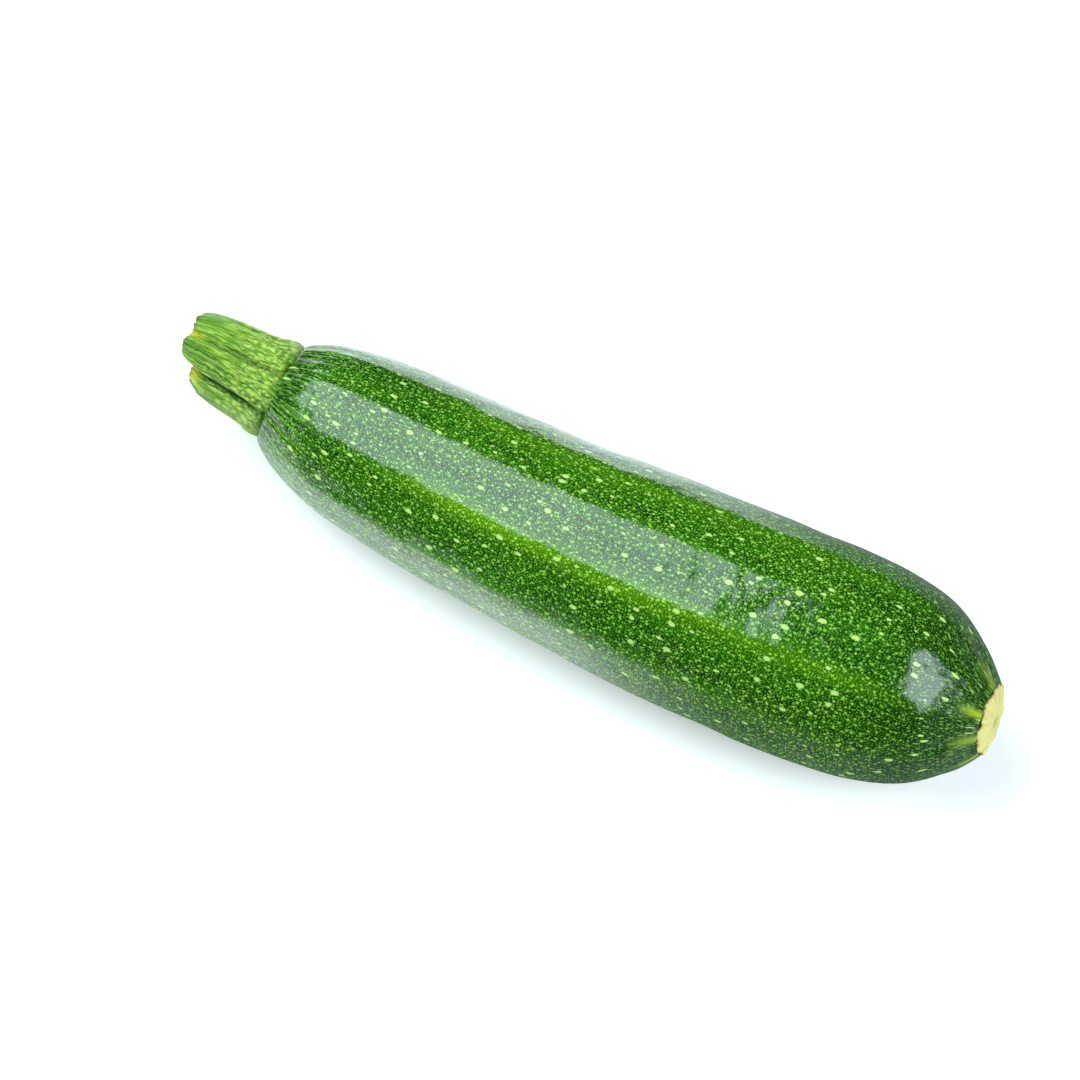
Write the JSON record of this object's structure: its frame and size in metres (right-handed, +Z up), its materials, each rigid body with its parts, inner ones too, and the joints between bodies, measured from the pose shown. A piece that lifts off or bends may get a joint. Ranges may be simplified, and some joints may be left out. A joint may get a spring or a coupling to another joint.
{
  "type": "courgette",
  "caption": "Whole courgette: a speckled green fruit, slightly bowed and fuller at the blossom end, with its ribbed cut stem and a corky blossom scar.",
  "frame": {"origin": "middle of the bounding box, on the plane the courgette rests on", "axes": "+X towards the blossom end, +Y across it, away from the side that it bows to, +Z up"},
  "size_m": [0.2052, 0.0498, 0.0501],
  "materials": {
    "fruit_rind": "waxy dark green rind with fine pale speckles",
    "stem_rind": "light green fibrous stem",
    "scar_cork": "dry tan cork"
  },
  "bodies": {
    "root": {"fruit": "fruit_rind", "stem": "stem_rind", "blossom_scar": "scar_cork"}
  },
  "joints": []
}
